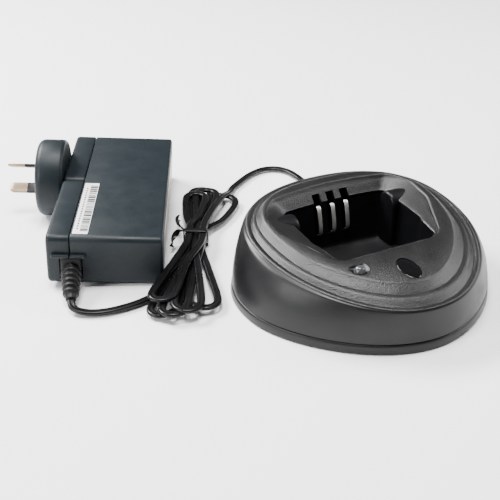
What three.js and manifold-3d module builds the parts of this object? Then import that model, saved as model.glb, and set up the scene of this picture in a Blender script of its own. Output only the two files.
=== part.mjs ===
// Desktop charging cradle for a handheld two-way radio, with its wall power supply.
// Millimetres, +Z up. The origin is the middle of the cradle's flat underside, +Y is the back of
// the cradle and +X its right-hand side as its user sees it.
import * as THREE from 'three';
import { mergeVertices } from 'three/addons/utils/BufferGeometryUtils.js';
import Module from 'manifold-3d';

const wasm = await Module();
wasm.setup();

// ---------------------------------------------------------------- driving dimensions

const AROUND = 72;                       // points around each lofted ring
const GAP = 0.3;                         // clearance between neighbouring pieces
const WALL = 2.2;                        // moulded wall thickness of the cradle

// Egg-shaped plan outlines of the cradle: half width, front and rear reach, widening to the rear,
// and fullness in front and behind, where 2 is a true ellipse.
const EGG_MIDDLE = -6;                   // Y where the front and rear halves of each outline meet
const BASE_EGG = { half: 65, front: 53.3, rear: 65, widen: 0.19, full: [1.95, 2] };
const SHOULDER_EGG = { half: 53.9, front: 51.2, rear: 60.4, widen: 0.245, full: [2.2, 2.2] };
const COLLAR_FOOT_EGG = { half: 46.5, front: 42.1, rear: 54, widen: 0.235, full: [2.1, 2.6] };
const COLLAR_TOP_EGG = { half: 42.8, front: 38, rear: 52, widen: 0.3, full: [2.1, 2.6] };
const PLATEAU_EGG = { half: 41.9, front: 36.8, rear: 51.2, widen: 0.3, full: [2.1, 2.6] };
const SEAM_HEIGHT = 5.1;                 // top of the base tray
const TOP_HEIGHT = 29.7;                 // shoulder height above the middle of the base
const TOP_SLOPE = 0.14;                  // rise of the top towards the back, per mm
const COLLAR_FOOT_RISE = 1.3;            // rise of the top from the shoulder to the collar's foot
const COLLAR_RISE = 4.2;                 // how far the collar stands above the shoulder
const LEDGE = 2.4;                       // width of the ledge that the collar rests on

// Pocket that holds the radio.
const MOUTH_HALF = 42.4;                 // half width of the lead-in at its top edge
const MOUTH_FRONT = -19;
const MOUTH_REAR = 40.6;
const POCKET_HALF = 30.5;                // half width of the straight pocket
const POCKET_REAR = 34.5;
const THROAT_HEIGHT = 31.2;              // lower edge of the lead-in, above the middle of the base
const THROAT_SLOPE = 0.045;              // and its rise towards the back, per mm
const POCKET_FLOOR = 6.5;
const POCKET_LEAN = 0.1;                 // forward shift of the pocket per mm of depth
const RIB = { y: 24.5, width: 13, top: 35, inner: 27, outer: 38 };

// Spring contacts in the pocket's rear wall.
const CONTACT = { pitch: 8.1, width: 2.2, slot: 4.5, bottom: 15.5, top: 30.6, proud: 29.6 };

const BADGE = { x: -1, y: -34.4, half: 4.6, long: 7.4, sink: 0.9 };
const LED = { x: -22.6, y: -26.9, radius: 2.9 };
const BOARD = { half: 29, front: -44, rear: -25.5, z: 9, thick: 1.6 };
const JACK = { x: 30, y: 49, z: 12 };
const SCREW_SPOTS = [[-41, -26], [41, -26], [-48, 20], [48, 20]];
const FOOT_SPOTS = [[-33, -37], [33, -37], [-38, 44], [38, 44]];

// Power supply, lying on its side. Its own frame starts at the lower corner of its cord end.
const SUPPLY = { length: 126, seam: -45.3, front: -57, height: 26.5, wall: 2 };
const SUPPLY_CORNER = [-89.7, 45.8];
const SUPPLY_YAW = -24.9;                // degrees about Z
const SUPPLY_ROLL = 2.72;                // degrees: it leans on the rim of the plug's round base
const HEAD_START = 65;                   // where the exchangeable plug head begins
const DISC = { y: 82.5, z: 18.6, radius: 21.4, from: -72.5 };
const PIN = { width: 6.35, thick: 1.6, reach: 17.1, spread: 6.86, tilt: 30, sleeve: 7.6 };

// Flat two-core cord.
const CORD = { width: 4, thick: 2.2 };

// ---------------------------------------------------------------- materials

const paint = (color, roughness, metalness = 0) =>
  new THREE.MeshStandardMaterial({ color, roughness, metalness });
const shellBlack = paint(0x2b2c2e, 0.55);
const pocketBlack = paint(0x1c1d1f, 0.5);
const supplyBlack = paint(0x24292d, 0.5);
const rubber = paint(0x141414, 0.85);
const steel = paint(0xc9c7c0, 0.28, 1);
const brass = paint(0xa08a60, 0.4, 1);
const boardGreen = paint(0x1f5a34, 0.6);
const clear = paint(0xd9dde0, 0.1);
const paper = paint(0xe6e6e2, 0.6);
const copper = paint(0x9a5a2c, 0.45, 0.8);
const sleeveGrey = paint(0x3b3d40, 0.5);

const model = new THREE.Group();
const supply = new THREE.Group();
supply.position.set(SUPPLY_CORNER[0], SUPPLY_CORNER[1], 0);
supply.rotation.set(0, THREE.MathUtils.degToRad(SUPPLY_ROLL),
  THREE.MathUtils.degToRad(SUPPLY_YAW), 'ZYX');
model.add(supply);

function add(name, geometry, material, parent = model) {
  const mesh = new THREE.Mesh(geometry, material);
  mesh.name = name;
  parent.add(mesh);
  return mesh;
}

// ---------------------------------------------------------------- geometry helpers

function closed(positions, triangles) {
  const geometry = new THREE.BufferGeometry();
  geometry.setAttribute('position', new THREE.Float32BufferAttribute(positions, 3));
  geometry.setIndex(triangles);
  let volume = 0;
  const [a, b, c] = [new THREE.Vector3(), new THREE.Vector3(), new THREE.Vector3()];
  for (let i = 0; i < triangles.length; i += 3) {
    a.fromArray(positions, 3 * triangles[i]);
    b.fromArray(positions, 3 * triangles[i + 1]);
    c.fromArray(positions, 3 * triangles[i + 2]);
    volume += a.dot(b.cross(c));
  }
  if (volume < 0) {
    geometry.setIndex(triangles.toReversed());
  }
  return geometry;
}

// A full egg outline in plan, wider towards the back.
function egg({ half, front, rear, widen, full }) {
  const points = [];
  for (let i = 0; i < 240; i += 1) {
    const t = (i / 240) * 2 * Math.PI;
    const power = 2 / full[Math.sin(t) > 0 ? 1 : 0];
    const across = Math.sign(Math.cos(t)) * Math.abs(Math.cos(t)) ** power;
    const along = Math.sign(Math.sin(t)) * Math.abs(Math.sin(t)) ** power;
    points.push(new THREE.Vector2(
      half * across * (1 + widen * along), EGG_MIDDLE + (along > 0 ? rear : front) * along));
  }
  return points;
}

// The pocket's outline: straight front, sides that open towards the back, bowed rear.
function pocket({ frontHalf, half, front, widest, rear, bow, round }) {
  const shape = new THREE.Shape();
  shape.moveTo(-frontHalf + round, front);
  shape.lineTo(frontHalf - round, front);
  shape.quadraticCurveTo(frontHalf, front, frontHalf + 0.45 * round, front + 0.8 * round);
  shape.lineTo(half - 0.3 * round, widest - round);
  shape.quadraticCurveTo(half, widest - 0.4 * round, half, widest);
  shape.lineTo(half, rear - bow - round);
  shape.quadraticCurveTo(half, rear - 0.8 * bow, half - 1.2 * round, rear - 0.55 * bow);
  shape.quadraticCurveTo(0, rear + 0.55 * bow, -half + 1.2 * round, rear - 0.55 * bow);
  shape.quadraticCurveTo(-half, rear - 0.8 * bow, -half, rear - bow - round);
  shape.lineTo(-half, widest);
  shape.quadraticCurveTo(-half, widest - 0.4 * round, -half + 0.3 * round, widest - round);
  shape.lineTo(-frontHalf - 0.45 * round, front + 0.8 * round);
  shape.quadraticCurveTo(-frontHalf, front, -frontHalf + round, front);
  return shape.getPoints(8);
}

// Meets an outline with evenly spaced rays, so that rings of different shape line up.
function ring(outline, height) {
  const middle = new THREE.Vector2(0, 10);
  const points = [];
  for (let i = 0; i < AROUND; i += 1) {
    const angle = (i / AROUND) * 2 * Math.PI;
    const ray = new THREE.Vector2(Math.cos(angle), Math.sin(angle));
    let best = 0;
    outline.forEach((start, j) => {
      const end = outline[(j + 1) % outline.length];
      const edge = end.clone().sub(start);
      const toStart = start.clone().sub(middle);
      const across = ray.cross(edge);
      if (Math.abs(across) < 1e-9) {
        return;
      }
      const along = toStart.cross(edge) / across;
      const share = toStart.cross(ray) / across;
      if (share >= -1e-9 && share <= 1 + 1e-9 && along > best) {
        best = along;
      }
    });
    const x = middle.x + ray.x * best;
    const y = middle.y + ray.y * best;
    points.push(new THREE.Vector3(x, y, typeof height === 'function' ? height(x, y) : height));
  }
  return points;
}

const topPlane = (offset) => (x, y) => TOP_HEIGHT + TOP_SLOPE * y + offset;

// A ring part of the way from one ring to another: acrossShare in plan, upShare in height.
function between(lower, upper, acrossShare, upShare) {
  return lower.map((p, i) => new THREE.Vector3(
    THREE.MathUtils.lerp(p.x, upper[i].x, acrossShare),
    THREE.MathUtils.lerp(p.y, upper[i].y, acrossShare),
    THREE.MathUtils.lerp(p.z, upper[i].z, upShare)));
}

// A ring moved inwards (or outwards, when negative) in plan, and in height.
function inset(points, amount, drop = 0) {
  return points.map((p, i) => {
    const before = points[(i + points.length - 1) % points.length];
    const after = points[(i + 1) % points.length];
    const way = new THREE.Vector2(after.x - before.x, after.y - before.y).normalize();
    return new THREE.Vector3(p.x - way.y * amount, p.y + way.x * amount, p.z - drop);
  });
}

// A ring pulled in, where it has to be, to stay inside another one by a given distance.
function keepInside(points, limit, by) {
  const reach = (p) => Math.hypot(p.x, p.y - 10);
  return points.map((p, i) => {
    const share = Math.min(1, (reach(limit[i]) - by) / reach(p));
    return new THREE.Vector3(p.x * share, 10 + (p.y - 10) * share, p.z);
  });
}

function sideQuads(triangles, count, from, to) {
  for (let i = 0; i < count; i += 1) {
    const j = (i + 1) % count;
    triangles.push(from + i, from + j, to + j, from + i, to + j, to + i);
  }
}

// A closed band: each ring joins the next and the last joins the first.
function loftBand(rings) {
  const count = rings[0].length;
  const triangles = [];
  rings.forEach((_, k) => sideQuads(triangles, count, k * count, ((k + 1) % rings.length) * count));
  return closed(rings.flat().flatMap((p) => p.toArray()), triangles);
}

// A solid with its first and last rings closed by flat fans.
function loftSolid(rings) {
  const count = rings[0].length;
  const positions = rings.flat().flatMap((p) => p.toArray());
  const triangles = [];
  for (let k = 0; k + 1 < rings.length; k += 1) {
    sideQuads(triangles, count, k * count, (k + 1) * count);
  }
  const last = (rings.length - 1) * count;
  [[0, true], [last, false]].forEach(([start, first]) => {
    const points = rings[start / count];
    const middle = points.reduce((sum, p) => sum.add(p), new THREE.Vector3())
      .divideScalar(count);
    const hub = positions.length / 3;
    positions.push(...middle.toArray());
    for (let i = 0; i < count; i += 1) {
      const j = (i + 1) % count;
      triangles.push(...(first ? [start + j, start + i, hub] : [start + i, start + j, hub]));
    }
  });
  return closed(positions, triangles);
}

function toManifold(geometry) {
  const bare = geometry.clone();
  bare.deleteAttribute('normal');
  bare.deleteAttribute('uv');
  const merged = mergeVertices(bare, 1e-4);
  return new wasm.Manifold(new wasm.Mesh({
    numProp: 3,
    vertProperties: new Float32Array(merged.attributes.position.array),
    triVerts: new Uint32Array(merged.index.array),
  }));
}

function fromManifold(solid) {
  const mesh = solid.getMesh();
  return closed(Array.from(mesh.vertProperties), Array.from(mesh.triVerts));
}

const cut = (geometry, ...tools) =>
  fromManifold(tools.reduce((left, tool) => left.subtract(toManifold(tool)),
    toManifold(geometry)));
const join = (geometry, ...others) =>
  fromManifold(others.reduce((sum, other) => sum.add(toManifold(other)), toManifold(geometry)));

// A box given by its lowest and highest corners.
function block([x0, y0, z0], [x1, y1, z1]) {
  return new THREE.BoxGeometry(x1 - x0, y1 - y0, z1 - z0)
    .translate((x0 + x1) / 2, (y0 + y1) / 2, (z0 + z1) / 2);
}

// An upright cylinder or cone standing on z0.
function post(x, y, z0, z1, radius, topRadius = radius, sides = 24) {
  return new THREE.CylinderGeometry(topRadius, radius, z1 - z0, sides)
    .rotateX(Math.PI / 2).translate(x, y, (z0 + z1) / 2);
}

// A flat shape given in the YZ plane, extruded along +X from x0 to x1.
function slabAlongX(shape, x0, x1) {
  return new THREE.ExtrudeGeometry(shape, { depth: x1 - x0, bevelEnabled: false, curveSegments: 8 })
    .rotateX(Math.PI / 2).rotateZ(Math.PI / 2).translate(x0, 0, 0);
}

function roundedRect(x0, y0, x1, y1, radius) {
  const shape = new THREE.Shape();
  shape.moveTo(x0 + radius, y0);
  shape.lineTo(x1 - radius, y0);
  shape.absarc(x1 - radius, y0 + radius, radius, -Math.PI / 2, 0);
  shape.lineTo(x1, y1 - radius);
  shape.absarc(x1 - radius, y1 - radius, radius, 0, Math.PI / 2);
  shape.lineTo(x0 + radius, y1);
  shape.absarc(x0 + radius, y1 - radius, radius, Math.PI / 2, Math.PI);
  shape.lineTo(x0, y0 + radius);
  shape.absarc(x0 + radius, y0 + radius, radius, Math.PI, 1.5 * Math.PI);
  return shape;
}

function extrudeUp(shape, z0, z1, curveSegments = 6) {
  return new THREE.ExtrudeGeometry(shape, { depth: z1 - z0, bevelEnabled: false, curveSegments })
    .translate(0, 0, z0);
}

// ---------------------------------------------------------------- cradle outlines

const mouth = pocket({
  frontHalf: 28, half: MOUTH_HALF, front: MOUTH_FRONT, widest: 14,
  rear: MOUTH_REAR, bow: 6, round: 8,
});
const throat = pocket({
  frontHalf: 26, half: POCKET_HALF, front: MOUTH_FRONT + 1.3, widest: 2,
  rear: POCKET_REAR, bow: 2.5, round: 4,
});

const seamRing = inset(ring(egg(BASE_EGG), SEAM_HEIGHT + 0.5), 0.7);
const shoulderRing = ring(egg(SHOULDER_EGG), topPlane(0));
const collarFoot = ring(egg(COLLAR_FOOT_EGG), topPlane(COLLAR_FOOT_RISE));
const collarTop = ring(egg(COLLAR_TOP_EGG), topPlane(COLLAR_RISE - 0.3));
const plateauEdge = ring(egg(PLATEAU_EGG), topPlane(COLLAR_RISE));
const mouthRing = keepInside(ring(mouth, topPlane(COLLAR_RISE - 0.4)), plateauEdge, 1.5);
const throatRing = ring(throat, (x, y) => THROAT_HEIGHT + THROAT_SLOPE * y);

// ---------------------------------------------------------------- cradle pieces

const contactSpots = [-1, 0, 1].map((i) => i * CONTACT.pitch);

// The slots that the contact springs look through, in the lead-in and in the rear wall.
const contactSlots = contactSpots.map((x) => block(
  [x - CONTACT.slot / 2, POCKET_REAR - 9, CONTACT.bottom - 1],
  [x + CONTACT.slot / 2, POCKET_REAR + 4.6, CONTACT.top + 5.5]));

// Guide ribs with rounded tops, one on each side wall of the pocket.
function rib(side, grow) {
  const half = RIB.width / 2 + grow;
  const shape = new THREE.Shape();
  shape.moveTo(RIB.y - half, POCKET_FLOOR - 0.9 - grow);
  shape.lineTo(RIB.y + half, POCKET_FLOOR - 0.9 - grow);
  shape.lineTo(RIB.y + half, RIB.top - half + grow);
  shape.absarc(RIB.y, RIB.top - half + grow, half, 0, Math.PI);
  const [x0, x1] = [RIB.inner - grow, RIB.outer + grow];
  return side > 0 ? slabAlongX(shape, x0, x1) : slabAlongX(shape, -x1, -x0);
}

// The outer housing, with a ledge inside its top opening that the collar drops onto.
function topShell() {
  const outer = [
    seamRing,
    between(seamRing, shoulderRing, 0.1, 0.28),
    between(seamRing, shoulderRing, 0.34, 0.6),
    between(seamRing, shoulderRing, 0.74, 0.9),
    inset(shoulderRing, 0, 0.7),
    inset(shoulderRing, 1.3, 0),
    inset(shoulderRing, 3, 0.35),
    between(shoulderRing, collarFoot, 0.7, 0.8),
    inset(collarFoot, -GAP),
  ];
  const inner = [
    inset(collarFoot, -GAP, WALL),
    inset(collarFoot, LEDGE, WALL),
    inset(collarFoot, LEDGE, WALL + 1.8),
    inset(shoulderRing, 4.4, WALL + 0.9),
    inset(between(seamRing, shoulderRing, 0.74, 0.9), WALL, 1.4),
    inset(between(seamRing, shoulderRing, 0.34, 0.6), WALL),
    inset(seamRing, WALL),
  ];
  const bosses = SCREW_SPOTS.map(([x, y]) =>
    post(x, y, SEAM_HEIGHT + 0.5, TOP_HEIGHT + TOP_SLOPE * y - 1.2, 3.2));
  const pilots = SCREW_SPOTS.map(([x, y]) => post(x, y, 2, 16, 1.6));
  const jackHole = block(
    [JACK.x - 6.3, JACK.y - 7, JACK.z - 5.3], [JACK.x + 6.3, 75, JACK.z + 5.3]);
  return cut(join(loftBand([...outer, ...inner]), ...bosses), ...pilots, jackHole);
}

// The raised plateau round the pocket, with the sloping lead-in moulded on.
function pocketCollar() {
  const band = loftBand([
    inset(collarFoot, 0, WALL - GAP),
    collarFoot,
    collarTop,
    plateauEdge,
    inset(mouthRing, -0.8, -0.35),
    mouthRing,
    throatRing,
    inset(throatRing, -0.4, 1.6),
    inset(throatRing, -WALL, 0.9),
    inset(mouthRing, 0, 2.6),
    inset(collarFoot, LEDGE, WALL - GAP),
  ]);
  const ledHole = post(LED.x, LED.y, 14, 34, LED.radius + GAP);
  const badgeSeat = seatedOval(BADGE.half + GAP, BADGE.long + GAP, -BADGE.sink - GAP, 4);
  return cut(band, ledHole, badgeSeat, rib(1, GAP), rib(-1, GAP), ...contactSlots);
}

// An upright oval standing on the sloping plateau, from one height above it to another.
function seatedOval(half, long, low, high) {
  const shape = new THREE.Shape();
  shape.absellipse(0, 0, half, long, 0, 2 * Math.PI);
  return extrudeUp(shape, low, high, 10)
    .rotateX(Math.atan(TOP_SLOPE))
    .translate(BADGE.x, BADGE.y, topPlane(COLLAR_RISE)(0, BADGE.y));
}

function baseTray() {
  const outer = ring(egg(BASE_EGG), 1);
  const tray = loftSolid([
    inset(outer, 1, 1),
    outer,
    inset(outer, 0.5, -SEAM_HEIGHT + 1),
    inset(outer, 0.5 + WALL, -SEAM_HEIGHT + 1),
    inset(outer, 0.5 + WALL, -1.2),
  ]);
  const recesses = FOOT_SPOTS.map(([x, y]) => post(x, y, -1, 1.1, 5.3));
  const holes = SCREW_SPOTS.flatMap(([x, y]) =>
    [post(x, y, -1, 3, 1.8, 1.8, 16), post(x, y, -1, 1.2, 3.2)]);
  return cut(tray, ...recesses, ...holes);
}

// A cup below the lead-in, open at the top, with the guide ribs moulded on.
function pocketCup() {
  const top = inset(throatRing, 0, 1.6 + GAP);
  const depth = THROAT_HEIGHT - POCKET_FLOOR;
  const foot = ring(throat, POCKET_FLOOR).map((p) =>
    new THREE.Vector3(p.x * 0.985, p.y * 0.97 - POCKET_LEAN * depth, p.z));
  const cup = loftSolid([
    inset(foot, -1.8, 1.8),
    inset(top, -1.7, 1),
    inset(top, -0.2),
    between(foot, inset(top, -0.2), 0.1, 0.1),
    between(foot, inset(top, -0.2), 0.08, 0.08),
    inset(foot, 1.2),
  ]);
  return cut(join(cup, rib(1, 0), rib(-1, 0)), ...contactSlots);
}

// A leaf spring seen edge-on in YZ: it slants out of the wall and turns back at both ends.
function contactSpring(x) {
  const { bottom, top, proud } = CONTACT;
  const leaf = [
    [proud + 2, bottom], [proud, bottom + 2], [POCKET_REAR - 2, top - 1.2], [POCKET_REAR - 0.4, top],
  ];
  const shape = new THREE.Shape();
  shape.moveTo(leaf[0][0], leaf[0][1]);
  leaf.slice(1).forEach(([y, z]) => shape.lineTo(y, z));
  [...leaf].reverse().forEach(([y, z]) => shape.lineTo(y + 0.55, z + 0.1));
  return slabAlongX(shape, x - CONTACT.width / 2, x + CONTACT.width / 2);
}

function contactCarrier() {
  const reach = CONTACT.pitch + 4;
  const back = POCKET_REAR + 5;
  return block([-reach, back, 9], [reach, back + 2.2, 27]);
}

function screw(x, y) {
  return join(post(x, y, 0.2, 1, 2.7, 2.7, 20), post(x, y, 0.9, 14, 1.25, 1.25, 12));
}

function dcJack() {
  const { x, y, z } = JACK;
  const body = block([x - 5.5, y - 6, z - 5], [x + 5.5, y + 5, z + 5]);
  const bore = post(0, 0, -8, 7.5, 2.9).rotateX(Math.PI / 2).translate(x, y + 3, z);
  return cut(body, bore);
}

add('top_shell', topShell(), shellBlack);
add('pocket_collar', pocketCollar(), shellBlack);
add('base_tray', baseTray(), shellBlack);
add('pocket_cup', pocketCup(), pocketBlack);
['left', 'middle', 'right'].forEach((word, i) =>
  add(`contact_spring_${word}`, contactSpring(contactSpots[i]), steel));
add('contact_carrier', contactCarrier(), pocketBlack);
add('badge', seatedOval(BADGE.half, BADGE.long, -BADGE.sink, -0.1), supplyBlack);
add('status_lens', join(
  post(LED.x, LED.y, 15, topPlane(COLLAR_RISE)(0, LED.y) - 0.4, LED.radius, LED.radius, 20),
  new THREE.SphereGeometry(LED.radius, 20, 10)
    .translate(LED.x, LED.y, topPlane(COLLAR_RISE)(0, LED.y) - 1)), clear);
add('circuit_board', extrudeUp(
  roundedRect(-BOARD.half, BOARD.front, BOARD.half, BOARD.rear, 3),
  BOARD.z, BOARD.z + BOARD.thick), boardGreen);
const onBoard = BOARD.z + BOARD.thick + GAP;
add('status_led', post(LED.x, LED.y, onBoard, 14.6, 2.2, 2.2, 16), clear);
add('inductor', post(13, -33, onBoard, onBoard + 5, 5, 5, 20), copper);
add('smoothing_capacitor', post(23, -33, onBoard, onBoard + 5, 3.6, 3.6, 20), supplyBlack);
add('charge_transistor', block([-8, -38, onBoard], [1, -31, onBoard + 4]), pocketBlack);
add('dc_jack', dcJack(), pocketBlack);
SCREW_SPOTS.forEach(([x, y], i) => add(`case_screw_${i + 1}`, screw(x, y), steel));
FOOT_SPOTS.forEach(([x, y], i) => add(`rubber_foot_${i + 1}`, post(x, y, 0, 0.8, 5), rubber));

// ---------------------------------------------------------------- power supply pieces

// One half of the case, between two positions along X, hollow and open towards the other half.
function caseHalf(x0, x1, y1, openLow) {
  const { height, wall } = SUPPLY;
  const solid = slabAlongX(roundedRect(0, 0, y1, height, 3.2), x0, x1);
  const [a, b] = openLow ? [x0 - 1, x1 - wall] : [x0 + wall, x1 + 1];
  const hollow = slabAlongX(roundedRect(wall, wall, y1 - wall, height - wall, 1.6), a, b);
  return cut(solid, hollow);
}

const bootHole = block([SUPPLY.seam - 5.4, -3, 3.4], [SUPPLY.seam + 6, 5, 15.3]);

// The hood over the strain relief is split between the two halves of the case.
const hood = (x0, x1) => block([x0, -2.2, 15.6], [x1, 1, 17.4]);

function rearCase() {
  const { seam, length } = SUPPLY;
  const half = cut(caseHalf(seam + GAP / 2, 0, length, true), bootHole);
  return join(half, hood(seam + GAP / 2, seam + 7.6));
}

function frontCase() {
  const { front, seam } = SUPPLY;
  const half = cut(caseHalf(front, seam - GAP / 2, HEAD_START - GAP, false), bootHole);
  return join(half, hood(seam - 9, seam - GAP / 2));
}

// The exchangeable plug head: a slab that fills the case's far half, with the round base on it.
function plugHead() {
  const { front, seam, height, length } = SUPPLY;
  const slab = slabAlongX(roundedRect(HEAD_START, 0, length, height, 3.2), front, seam - GAP);
  const slabMiddle = height / 2;
  const profile = [
    [0, DISC.from], [DISC.radius - 3, DISC.from], [DISC.radius - 0.9, DISC.from + 1],
    [DISC.radius, DISC.from + 3.4], [DISC.radius, front - GAP - 2], [DISC.radius - 1, front - GAP],
    [0, front - GAP],
  ].map(([radius, x]) => new THREE.Vector2(radius, x));
  const disc = new THREE.LatheGeometry(profile, 48).rotateZ(-Math.PI / 2)
    .translate(0, DISC.y, DISC.z);
  const neck = post(0, 0, front - 1, front + 1, slabMiddle - 1, slabMiddle - 1, 40)
    .rotateY(Math.PI / 2).translate(0, DISC.y, slabMiddle);
  const seats = [1, -1].map((side) => pinBlock(side, SUPPLY.front - 9, DISC.from - 1, 0.5));
  return cut(join(slab, disc, neck), ...seats);
}

// A flat pin or its sleeve, turned about its own length, between two positions along X.
function pinBlock(side, x0, x1, grow) {
  const [low, high] = [Math.min(x0, x1), Math.max(x0, x1)];
  return new THREE.BoxGeometry(high - low, PIN.width + 2 * grow, PIN.thick + 2 * grow)
    .rotateX(THREE.MathUtils.degToRad(-side * PIN.tilt))
    .translate((low + high) / 2, DISC.y, DISC.z + side * PIN.spread);
}

add('supply_rear_case', rearCase(), supplyBlack, supply);
add('supply_front_case', frontCase(), supplyBlack, supply);
add('plug_head', plugHead(), supplyBlack, supply);
[['upper', 1], ['lower', -1]].forEach(([word, side]) => {
  const root = SUPPLY.front - 9 - GAP;
  const sleeveEnd = DISC.from - PIN.sleeve;
  const pin = pinBlock(side, root, DISC.from - PIN.reach, -0.45);
  const tip = pinBlock(side, sleeveEnd - GAP, DISC.from - PIN.reach, 0);
  const sleeve = cut(pinBlock(side, DISC.from - GAP, sleeveEnd, 0),
    pinBlock(side, DISC.from, sleeveEnd - 1, -0.3));
  add(`pin_${word}`, join(pin, tip), brass, supply);
  add(`pin_sleeve_${word}`, sleeve, sleeveGrey, supply);
});
add('supply_board', block([-39.4, 6.5, 3.2], [-37.8, 118, 22.8]), boardGreen, supply);
add('supply_transformer', block([-37.3, 44, 4.4], [-14, 68, 21.8]), copper, supply);
add('bulk_capacitor', post(0, 0, -37.3, -10, 7.5, 7.5, 20)
  .rotateY(Math.PI / 2).translate(0, 90, 13.2), supplyBlack, supply);
add('output_capacitor', post(0, 0, -37.3, -22, 4.5, 4.5, 20)
  .rotateY(Math.PI / 2).translate(0, 24, 12), supplyBlack, supply);
add('heat_sink', block([-37.3, 73, 4.4], [-16, 75, 21.8]), steel, supply);
add('barcode_label', block([SUPPLY.seam + 1.1, 3.4, SUPPLY.height + GAP],
  [SUPPLY.seam + 8.6, 59.6, SUPPLY.height + GAP + 0.15]), paper, supply);
add('rating_label', block([GAP, 14, 4], [GAP + 0.15, 112, 22.5]), paper, supply);

// The ribbed strain relief, sloping down from the case to the table.
const bootStart = new THREE.Vector3(SUPPLY.seam, 4, 9.8);
const bootEnd = new THREE.Vector3(SUPPLY.seam + 2.4, -19, 2.8);
function strainRelief() {
  const length = bootStart.distanceTo(bootEnd);
  const profile = [new THREE.Vector2(0, 0), new THREE.Vector2(4, 0)];
  for (let i = 0; i < 5; i += 1) {
    const at = 6.5 + i * 3.1;
    const radius = 4.7 - 0.28 * i;
    profile.push(new THREE.Vector2(radius - 0.9, at), new THREE.Vector2(radius, at + 0.4));
    profile.push(new THREE.Vector2(radius, at + 1.9), new THREE.Vector2(radius - 0.9, at + 2.3));
  }
  profile.push(new THREE.Vector2(2.6, length), new THREE.Vector2(0, length));
  const turned = new THREE.LatheGeometry(profile, 20);
  const way = bootEnd.clone().sub(bootStart).normalize();
  turned.applyQuaternion(new THREE.Quaternion()
    .setFromUnitVectors(new THREE.Vector3(0, 1, 0), way));
  return turned.translate(bootStart.x, bootStart.y, bootStart.z);
}
add('cord_strain_relief', strainRelief(), rubber, supply);

// ---------------------------------------------------------------- cord

// A flat cord laid along a route of points, as an eight-sided tube.
function flatCord(points, steps) {
  const { width, thick } = CORD;
  const shape = new THREE.Shape([
    [-0.5, 0.25], [-0.3, 0.5], [0.3, 0.5], [0.5, 0.25], [0.5, -0.25], [0.3, -0.5], [-0.3, -0.5],
    [-0.5, -0.25],
  ].map(([a, b]) => new THREE.Vector2(b * thick, a * width)));
  const route = new THREE.CatmullRomCurve3(points.map((p) => new THREE.Vector3(...p)));
  return new THREE.ExtrudeGeometry(shape, { steps, extrudePath: route, bevelEnabled: false });
}

const LAID = 2.2;                        // height of the cord's middle where it lies on the table

// From the cradle's plug, round to the hank's far end.
const cradleCord = [
  [30.0, 79.7, 12.0], [30.0, 86.0, 11.3], [30.1, 93.0, 9.2], [30.3, 101.0, 6.0],
  [30.5, 109.0, 3.2], [30.6, 116.0, LAID], [30.4, 124.0, LAID], [29.0, 131.6, LAID],
  [25.0, 137.8, LAID], [18.4, 140.6, LAID], [10.2, 139.3, LAID], [1.1, 134.8, LAID],
  [-5.6, 130.2, LAID], [-11.2, 126.2, LAID], [-16.0, 121.8, LAID],
];
// From the hank's near end, round to the power supply's strain relief.
const supplyCord = [
  [-99.9, 35.9, LAID], [-103.7, 34.7, LAID], [-108.3, 33.8, LAID], [-113.1, 33.4, LAID],
  [-118.7, 33.4, LAID], [-124.5, 34.2, LAID], [-130.0, 36.2, LAID], [-134.6, 39.2, 2.5],
  [-136.9, 42.6, 3.4], [-136.7, 45.6, 4.3],
];

const HANK_START = new THREE.Vector2(-90.5, 17.4);
const HANK_TURN = THREE.MathUtils.degToRad(-29.1);
const HANK_WAIST = 66;                   // how far along the hank the tie sits

// The wound length, folded into a hank that fans out at both ends and is tied in the middle.
function hank() {
  const shape = new THREE.Shape();
  shape.moveTo(-2, -6.5);
  shape.bezierCurveTo(-9, -9, -18, -9, -16.5, 2);
  shape.bezierCurveTo(-12.5, 16, -8, 44, -5.4, 62.5);
  shape.lineTo(-5.4, 69.5);
  shape.bezierCurveTo(-6.5, 84, -10.5, 102, -9.5, 113);
  shape.bezierCurveTo(-8, 127, -2, 130.5, 3, 129);
  shape.bezierCurveTo(14, 127, 22, 118, 21, 106);
  shape.bezierCurveTo(20.5, 92, 16, 77, 5.4, 69.5);
  shape.lineTo(5.4, 62.5);
  shape.bezierCurveTo(7, 50, 16, 30, 18, 12);
  shape.bezierCurveTo(19, 2, 8, 0, -2, -6.5);
  return extrudeUp(shape, 1, 8.6, 5).rotateZ(HANK_TURN).translate(HANK_START.x, HANK_START.y, 0);
}

// A flat band round the hank's narrow middle, clear of the cord inside it.
function twistTie() {
  const band = extrudeUp(roundedRect(-6.7, 0.2, 6.7, 9.6, 1.4), -1.8, 1.8)
    .rotateX(Math.PI / 2);
  const hole = extrudeUp(roundedRect(-6, 0.65, 6, 9, 0.5), -3, 3).rotateX(Math.PI / 2);
  return cut(band, hole).rotateZ(HANK_TURN).translate(
    HANK_START.x - HANK_WAIST * Math.sin(HANK_TURN), HANK_START.y + HANK_WAIST * Math.cos(HANK_TURN), 0);
}

function dcPlug() {
  const { x, z } = JACK;
  const profile = [[0, 0], [2.5, 0], [2.5, 9], [5, 9.3], [5, 22], [4.2, 24], [2.5, 33.8], [0, 33.8]];
  return new THREE.LatheGeometry(profile.map(([r, y]) => new THREE.Vector2(r, y)), 20)
    .translate(x, JACK.y - 3.4, z);
}

add('dc_plug', dcPlug(), rubber);
add('cord_to_cradle', flatCord(cradleCord, 34), rubber);
add('cord_hank', hank(), rubber);
add('twist_tie', twistTie(), rubber);
add('cord_to_supply', flatCord(supplyCord, 24), rubber);

export default model;
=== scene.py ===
# Desktop radio charger and its power supply: the looks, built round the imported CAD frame.
# The scene is in metres, +Z up. The origin is the middle of the cradle's flat underside and +Y
# is its back. The pieces are written in millimetres, and make_piece turns them into metres.
import bpy
import bmesh
import math
import random
import numpy as np
from mathutils import Matrix, Vector


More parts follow.
